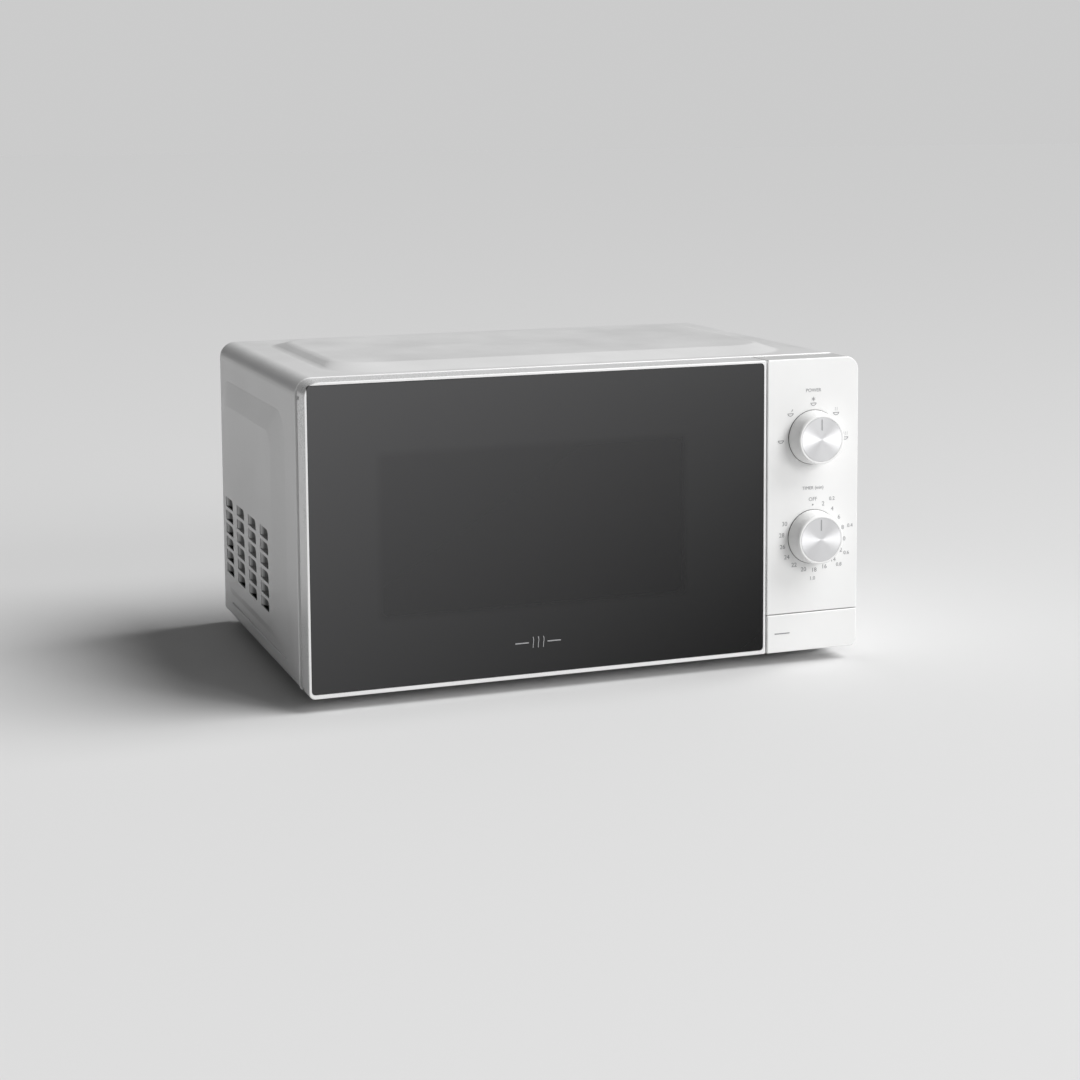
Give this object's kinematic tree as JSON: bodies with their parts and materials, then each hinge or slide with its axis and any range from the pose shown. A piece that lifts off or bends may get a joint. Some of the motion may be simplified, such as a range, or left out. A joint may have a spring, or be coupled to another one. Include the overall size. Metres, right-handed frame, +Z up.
{
  "type": "microwave oven",
  "caption": "White countertop microwave oven with a side-hinged dark glass door, two turning dials, a push-button door release and a glass turntable.",
  "frame": {"origin": "middle of the footprint, on the surface that the feet stand on", "axes": "+Z up, -Y towards the user (door and dials), +X to the user's right"},
  "size_m": [0.4576, 0.323, 0.2495],
  "materials": {
    "cover_paint": "smooth white powder paint",
    "zinc_sheet": "zinc-plated sheet",
    "plate_paint": "satin light grey paint",
    "liner_paint": "satin grey oven paint",
    "door_moulding": "glossy white moulding",
    "panel_moulding": "glossy white moulding",
    "button_moulding": "glossy white moulding",
    "dial_moulding": "glossy white moulding",
    "dial_cap": "radially spun silver",
    "tinted_glass": "dark tinted glass",
    "screen_metal": "dark painted perforated sheet",
    "choke_plastic": "dark matt plastic",
    "clear_film": "clear window film",
    "tray_glass": "clear toughened glass",
    "foot_rubber": "moulded rubber",
    "steel": "bright steel",
    "black_plastic": "matt black moulding",
    "latch_plastic": "natural nylon",
    "mica": "pressed mica sheet",
    "bulb_glass": "clear bulb",
    "unit_case": "moulded case",
    "motor_case": "plated case",
    "guide_aluminium": "mill finish",
    "duct_plastic": "flame-resistant moulding",
    "board": "printed board",
    "winding": "enamelled winding",
    "carrier_plastic": "heat-resistant moulding"
  },
  "bodies": {
    "casing": {"outer_cover": "cover_paint", "base_plate": "zinc_sheet", "rear_panel": "zinc_sheet", "cover_screws": "steel", "cord_bushing": "black_plastic", "front_plate": "plate_paint", "foot_front_left": "foot_rubber", "foot_front_right": "foot_rubber", "foot_rear_left": "foot_rubber", "foot_rear_right": "foot_rubber", "oven_cavity": "liner_paint", "lamp_bulb": "bulb_glass", "lamp_holder": "black_plastic", "waveguide_cover": "mica", "lower_hinge": "steel", "upper_hinge": "steel", "interlock_bracket": "steel", "primary_switch": "black_plastic", "secondary_switch": "black_plastic", "monitor_switch": "black_plastic", "control_panel": "panel_moulding", "power_selector": "unit_case", "timer_unit": "unit_case", "timer_bell": "steel", "turntable_motor": "motor_case", "waveguide": "guide_aluminium", "magnetron": "motor_case", "thermal_cutout": "motor_case", "fan_motor": "motor_case", "air_duct": "duct_plastic", "inverter_board": "board", "inverter_transformer": "winding", "inverter_heatsink": "guide_aluminium", "noise_filter": "unit_case", "button_spring": "steel"},
    "door": {"door_frame": "door_moulding", "door_glass": "tinted_glass", "door_screen": "screen_metal", "door_choke": "screen_metal", "door_choke_cover": "choke_plastic", "door_inner_film": "clear_film", "latch_spring": "steel"},
    "latch": {"latch_hooks": "latch_plastic"},
    "button": {"door_open_button": "button_moulding"},
    "lever": {"release_lever": "latch_plastic"},
    "power_dial": {"power_knob": "dial_moulding", "power_knob_cap": "dial_cap", "power_shaft": "steel"},
    "timer_dial": {"timer_knob": "dial_moulding", "timer_knob_cap": "dial_cap", "timer_shaft": "steel"},
    "turntable": {"turntable_coupler": "carrier_plastic", "glass_tray": "tray_glass"},
    "roller_carrier": {"roller_ring": "carrier_plastic"},
    "roller_wheel_1": {"roller_1": "carrier_plastic"},
    "roller_wheel_2": {"roller_2": "carrier_plastic"},
    "roller_wheel_3": {"roller_3": "carrier_plastic"},
    "fan": {"fan_blade": "black_plastic"}
  },
  "joints": [
    {"name": "door_swing", "type": "hinge", "parent": "casing", "child": "door", "pos_m": [-0.2195, -0.126, 0.1275], "axis": [0, 0, -1], "range_deg": [0, 95]},
    {"name": "button_press", "type": "slide", "parent": "casing", "child": "button", "axis": [0, 1, 0], "range_m": [0, 0.005], "stiffness_N_per_m": 500, "springref_m": -0.004, "deforming": ["button_spring"]},
    {"name": "latch_lift", "type": "slide", "parent": "door", "child": "latch", "axis": [0, 0, 1], "range_m": [0, 0.004], "deforming": ["latch_spring"]},
    {"name": "lever_turn", "type": "hinge", "parent": "casing", "child": "lever", "pos_m": [0.124, -0.1101, 0.048], "axis": [1, 0, 0], "range_deg": [0, 16]},
    {"name": "power_dial_turn", "type": "hinge", "parent": "casing", "child": "power_dial", "pos_m": [0.1861, -0.15, 0.182], "axis": [0, 1, 0], "range_deg": [-90, 90]},
    {"name": "timer_dial_turn", "type": "hinge", "parent": "casing", "child": "timer_dial", "pos_m": [0.1861, -0.15, 0.102], "axis": [0, 1, 0], "range_deg": [0, 295]},
    {"name": "turntable_spin", "type": "hinge", "parent": "casing", "child": "turntable", "pos_m": [-0.041, 0.0157, 0.03], "axis": [0, 0, 1], "continuous": true},
    {"name": "roller_ring_spin", "type": "hinge", "parent": "casing", "child": "roller_carrier", "pos_m": [-0.041, 0.0157, 0.03], "axis": [0, 0, 1], "continuous": true},
    {"name": "fan_spin", "type": "hinge", "parent": "casing", "child": "fan", "pos_m": [0.1695, 0.14, 0.103], "axis": [0, 1, 0], "continuous": true},
    {"name": "roller_1_spin", "type": "hinge", "parent": "roller_carrier", "child": "roller_wheel_1", "pos_m": [-0.041, 0.1067, 0.036], "axis": [0, 1, 0], "continuous": true},
    {"name": "roller_2_spin", "type": "hinge", "parent": "roller_carrier", "child": "roller_wheel_2", "pos_m": [-0.11981, -0.0298, 0.036], "axis": [-0.866, -0.5, 0], "continuous": true},
    {"name": "roller_3_spin", "type": "hinge", "parent": "roller_carrier", "child": "roller_wheel_3", "pos_m": [0.03781, -0.0298, 0.036], "axis": [0.866, -0.5, 0], "continuous": true}
  ],
  "couplings": [
    {"joint": "lever_turn", "follows": "button_press", "rad_per_m": 55.556},
    {"joint": "latch_lift", "follows": "button_press", "ratio": 0.8},
    {"joint": "roller_ring_spin", "follows": "turntable_spin", "ratio": 0.5},
    {"joint": "roller_1_spin", "follows": "turntable_spin", "ratio": -6.5},
    {"joint": "roller_2_spin", "follows": "turntable_spin", "ratio": -6.5},
    {"joint": "roller_3_spin", "follows": "turntable_spin", "ratio": -6.5}
  ]
}
